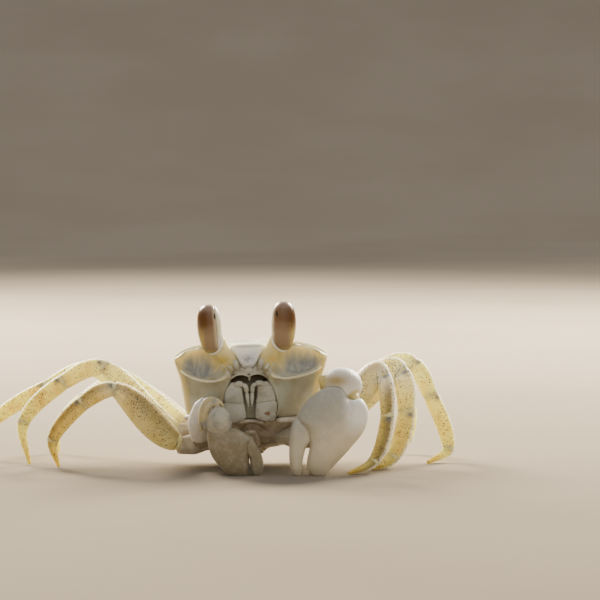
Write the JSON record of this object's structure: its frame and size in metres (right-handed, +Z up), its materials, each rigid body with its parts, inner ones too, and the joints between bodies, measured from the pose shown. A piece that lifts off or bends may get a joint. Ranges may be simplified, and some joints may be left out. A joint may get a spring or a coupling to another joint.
{
  "type": "ghost crab",
  "caption": "Still, life-size ghost crab with tall upright eyes and unequal claws held down in front of the face, standing on the tips of its legs.",
  "frame": {"origin": "middle of the bottom of the whole crab's box, on the floor that it stands on", "axes": "+Z up; the crab faces -Y, so its left side is towards +X"},
  "size_m": [0.115, 0.054, 0.0392],
  "materials": {
    "carapace_shell": "semi-matt cream shell with a fine grain",
    "face_shell": "smooth grey-white shell",
    "underside_shell": "smooth warm grey shell",
    "claw_shell": "satin white to lilac shell",
    "leg_shell": "thin see-through yellow shell with dark specks",
    "foot_shell": "ridged amber shell",
    "eye_cornea": "glossy, dark brown above and tan below",
    "eye_stalk": "smooth cream shell"
  },
  "bodies": {
    "root": {"carapace": "carapace_shell", "epistome": "face_shell", "maxilliped_left": "face_shell", "maxilliped_right": "face_shell", "antenna_left": "face_shell", "antenna_right": "face_shell", "sternum": "underside_shell", "abdomen": "underside_shell", "eye_left": "eye_cornea", "eye_right": "eye_cornea", "eyestalk_left": "eye_stalk", "eyestalk_right": "eye_stalk", "claw_left_base": "underside_shell", "claw_left_arm": "claw_shell", "claw_left_carpus": "claw_shell", "claw_left_palm": "claw_shell", "claw_left_finger": "claw_shell", "claw_right_base": "underside_shell", "claw_right_arm": "claw_shell", "claw_right_carpus": "claw_shell", "claw_right_palm": "claw_shell", "claw_right_finger": "claw_shell", "leg_left_1_merus": "leg_shell", "leg_left_1_carpus": "leg_shell", "leg_left_1_propodus": "leg_shell", "leg_left_1_dactylus": "foot_shell", "leg_left_2_merus": "leg_shell", "leg_left_2_carpus": "leg_shell", "leg_left_2_propodus": "leg_shell", "leg_left_2_dactylus": "foot_shell", "leg_left_3_merus": "leg_shell", "leg_left_3_carpus": "leg_shell", "leg_left_3_propodus": "leg_shell", "leg_left_3_dactylus": "foot_shell", "leg_left_4_merus": "leg_shell", "leg_left_4_carpus": "leg_shell", "leg_left_4_propodus": "leg_shell", "leg_left_4_dactylus": "foot_shell", "leg_right_1_merus": "leg_shell", "leg_right_1_carpus": "leg_shell", "leg_right_1_propodus": "leg_shell", "leg_right_1_dactylus": "foot_shell", "leg_right_2_merus": "leg_shell", "leg_right_2_carpus": "leg_shell", "leg_right_2_propodus": "leg_shell", "leg_right_2_dactylus": "foot_shell", "leg_right_3_merus": "leg_shell", "leg_right_3_carpus": "leg_shell", "leg_right_3_propodus": "leg_shell", "leg_right_3_dactylus": "foot_shell", "leg_right_4_merus": "leg_shell", "leg_right_4_carpus": "leg_shell", "leg_right_4_propodus": "leg_shell", "leg_right_4_dactylus": "foot_shell"}
  },
  "joints": []
}
